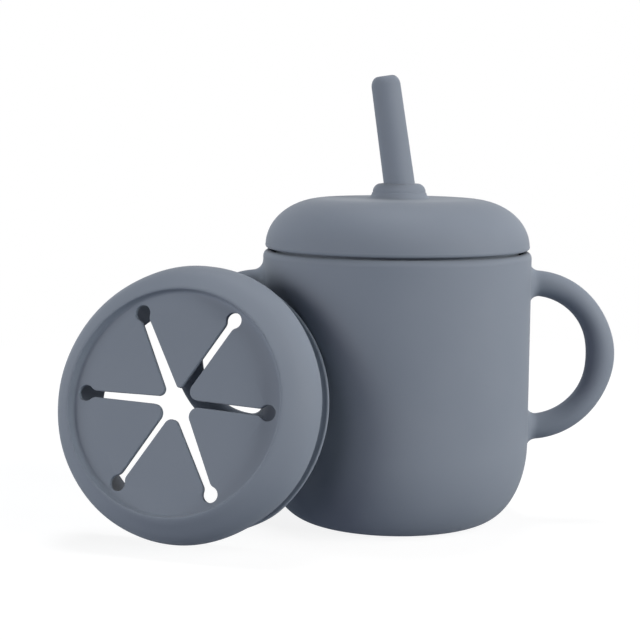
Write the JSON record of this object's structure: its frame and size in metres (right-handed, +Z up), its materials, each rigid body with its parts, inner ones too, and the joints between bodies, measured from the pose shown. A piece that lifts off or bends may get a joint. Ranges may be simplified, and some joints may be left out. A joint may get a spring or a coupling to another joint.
{
  "type": "toddler snack container",
  "caption": "Soft two-handled toddler cup with a domed straw lid fitted, and a slit snack lid with bending flaps leaning beside it.",
  "frame": {"origin": "centre of the cup's base, on the surface it stands on", "axes": "+Z up, handles along X, front at -Y where the snack lid leans on the cup's left"},
  "size_m": [0.176, 0.1024, 0.1411],
  "materials": {
    "cup_silicone": "soft matte silicone, slate grey",
    "lid_silicone": "soft matte silicone, slate grey",
    "straw_silicone": "soft matte silicone, slate grey"
  },
  "bodies": {
    "cup": {"cup": "cup_silicone", "handle_left": "cup_silicone", "handle_right": "cup_silicone"},
    "straw_lid": {"straw_lid": "lid_silicone"},
    "straw": {"straw": "straw_silicone"},
    "snack_lid": {"snack_lid": "lid_silicone"},
    "flap_1": {"flap_1": "lid_silicone"},
    "flap_2": {"flap_2": "lid_silicone"},
    "flap_3": {"flap_3": "lid_silicone"},
    "flap_4": {"flap_4": "lid_silicone"},
    "flap_5": {"flap_5": "lid_silicone"},
    "flap_6": {"flap_6": "lid_silicone"}
  },
  "joints": [
    {"name": "straw_lid_lift", "type": "slide", "parent": "cup", "child": "straw_lid", "axis": [0, 0, 1], "range_m": [0, 0.1]},
    {"name": "straw_pull", "type": "slide", "parent": "straw_lid", "child": "straw", "axis": [-0.1495, 0, 0.9888], "range_m": [0, 0.09]},
    {"name": "snack_lid_away", "type": "slide", "parent": "cup", "child": "snack_lid", "axis": [-0.373, -0.9278, 0], "range_m": [0, 0.06]},
    {"name": "flap_1_bend", "type": "hinge", "parent": "snack_lid", "child": "flap_1", "pos_m": [-0.0477, -0.04699, 0.0553], "axis": [0.3402, -0.3876, -0.8568], "range_deg": [-60, 70], "stiffness_Nm_per_rad": 0.006},
    {"name": "flap_2_bend", "type": "hinge", "parent": "snack_lid", "child": "flap_2", "pos_m": [-0.06517, -0.03632, 0.06776], "axis": [0.9224, -0.3836, -0.0438], "range_deg": [-60, 70], "stiffness_Nm_per_rad": 0.006},
    {"name": "flap_3_bend", "type": "hinge", "parent": "snack_lid", "child": "flap_3", "pos_m": [-0.08598, -0.03107, 0.05711], "axis": [0.5823, 0.004, 0.813], "range_deg": [-60, 70], "stiffness_Nm_per_rad": 0.006},
    {"name": "flap_4_bend", "type": "hinge", "parent": "snack_lid", "child": "flap_4", "pos_m": [-0.08933, -0.03649, 0.03402], "axis": [-0.3402, 0.3876, 0.8568], "range_deg": [-60, 70], "stiffness_Nm_per_rad": 0.006},
    {"name": "flap_5_bend", "type": "hinge", "parent": "snack_lid", "child": "flap_5", "pos_m": [-0.07186, -0.04716, 0.02156], "axis": [-0.9224, 0.3836, 0.0438], "range_deg": [-60, 70], "stiffness_Nm_per_rad": 0.006},
    {"name": "flap_6_bend", "type": "hinge", "parent": "snack_lid", "child": "flap_6", "pos_m": [-0.05105, -0.05241, 0.0322], "axis": [-0.5823, -0.004, -0.813], "range_deg": [-60, 70], "stiffness_Nm_per_rad": 0.006}
  ]
}
